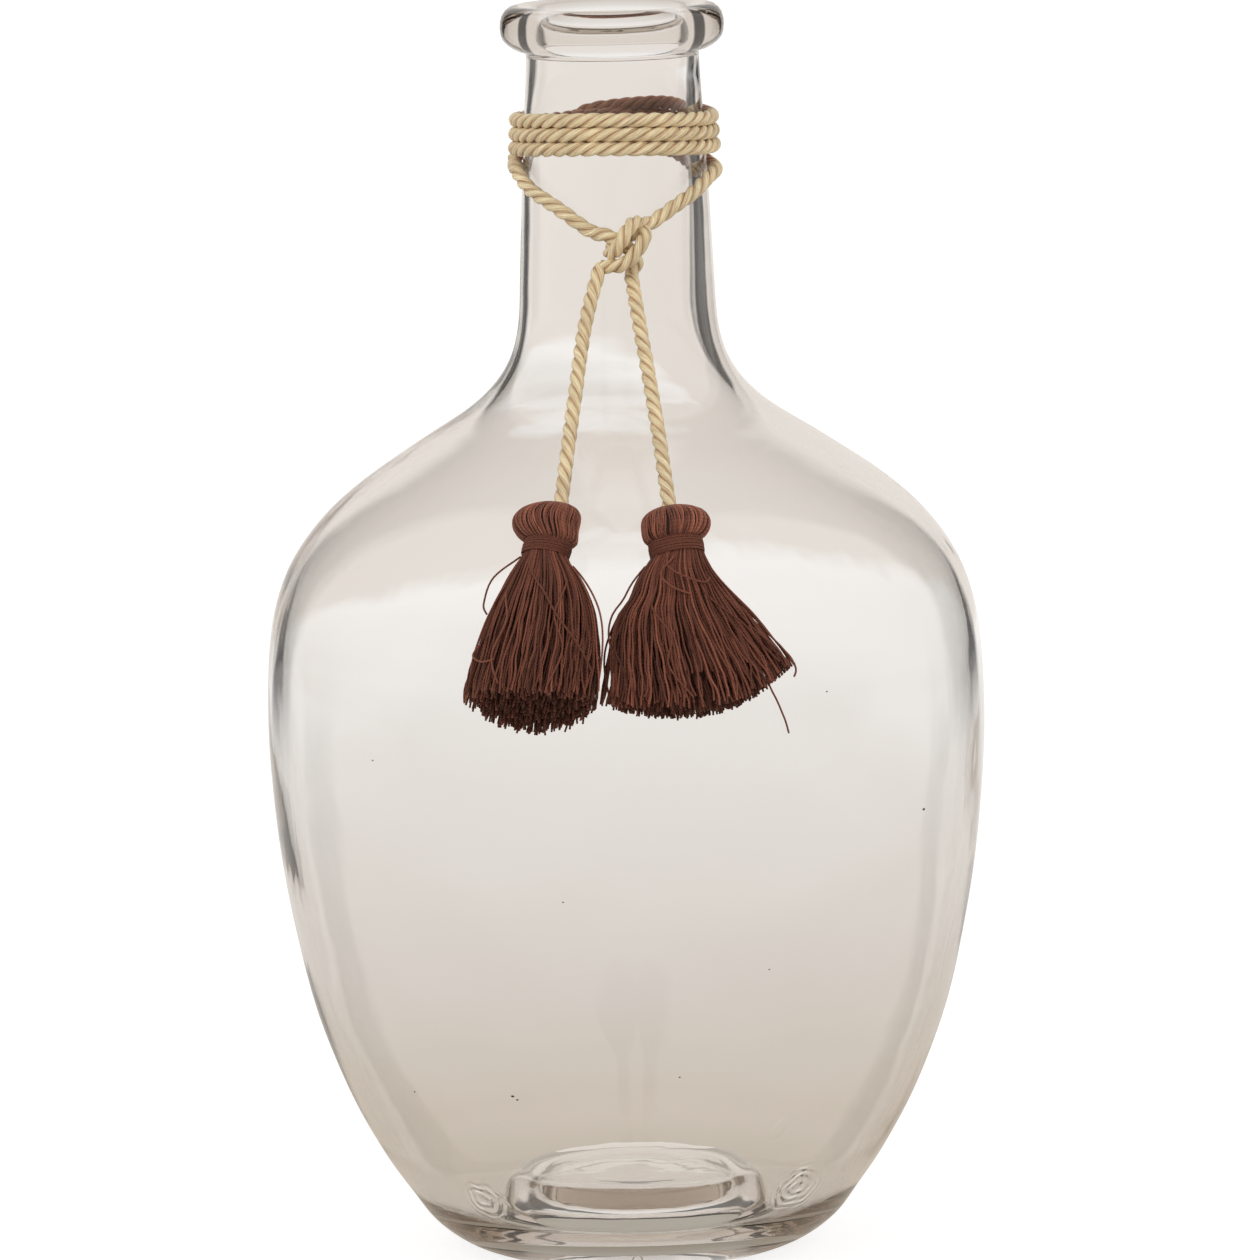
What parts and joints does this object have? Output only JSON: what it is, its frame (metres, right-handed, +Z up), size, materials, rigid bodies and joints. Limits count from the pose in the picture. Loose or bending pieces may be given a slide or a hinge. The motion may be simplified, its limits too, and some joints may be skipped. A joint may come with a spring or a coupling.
{
  "type": "demijohn",
  "caption": "Clear pear-shaped glass demijohn with a rolled rim, a twisted cord wound and tied round its neck, and a cotton tassel hanging from each cord end.",
  "frame": {"origin": "middle of the resting ring under the glass, on the surface it stands on", "axes": "+Z up along the glass's axis; -Y is the front, where the cord is tied; +X is to the right seen from the front"},
  "size_m": [0.178, 0.1998, 0.31],
  "materials": {
    "clear_glass": "clear, faintly warm grey, polished",
    "gold_cord": "satin three-strand twisted cord, straw gold",
    "chocolate_yarn": "matt cotton yarn, chocolate brown"
  },
  "bodies": {
    "bottle": {"glass_bottle": "clear_glass"},
    "neck_cord": {"neck_winding": "gold_cord", "left_front_span": "gold_cord", "right_front_span": "gold_cord", "front_knot": "gold_cord"},
    "left_tail": {"left_tail": "gold_cord"},
    "right_tail": {"right_tail": "gold_cord"},
    "left_tassel": {"left_tail_knot": "gold_cord", "left_tassel_yarn": "chocolate_yarn", "left_tassel_binding": "chocolate_yarn"},
    "right_tassel": {"right_tail_knot": "gold_cord", "right_tassel_yarn": "chocolate_yarn", "right_tassel_binding": "chocolate_yarn"}
  },
  "joints": [
    {"name": "cord_turn", "type": "hinge", "parent": "bottle", "child": "neck_cord", "pos_m": [0, 0, 0.2835], "axis": [0, 0, 1], "continuous": true},
    {"name": "left_tail_swing", "type": "hinge", "parent": "neck_cord", "child": "left_tail", "pos_m": [-0.00408, -0.03013, 0.24835], "axis": [0, 0.7563, -0.6542], "range_deg": [0, 40]},
    {"name": "right_tail_swing", "type": "hinge", "parent": "neck_cord", "child": "right_tail", "pos_m": [0.00344, -0.02812, 0.24583], "axis": [0, -0.7563, 0.6542], "range_deg": [0, 40]},
    {"name": "left_tassel_lift", "type": "hinge", "parent": "left_tail", "child": "left_tassel", "pos_m": [-0.01442, -0.07393, 0.19725], "axis": [-1, 0, 0], "range_deg": [0, 60]},
    {"name": "right_tassel_lift", "type": "hinge", "parent": "right_tail", "child": "right_tassel", "pos_m": [0.01119, -0.07561, 0.19641], "axis": [-1, 0, 0], "range_deg": [0, 60]}
  ]
}
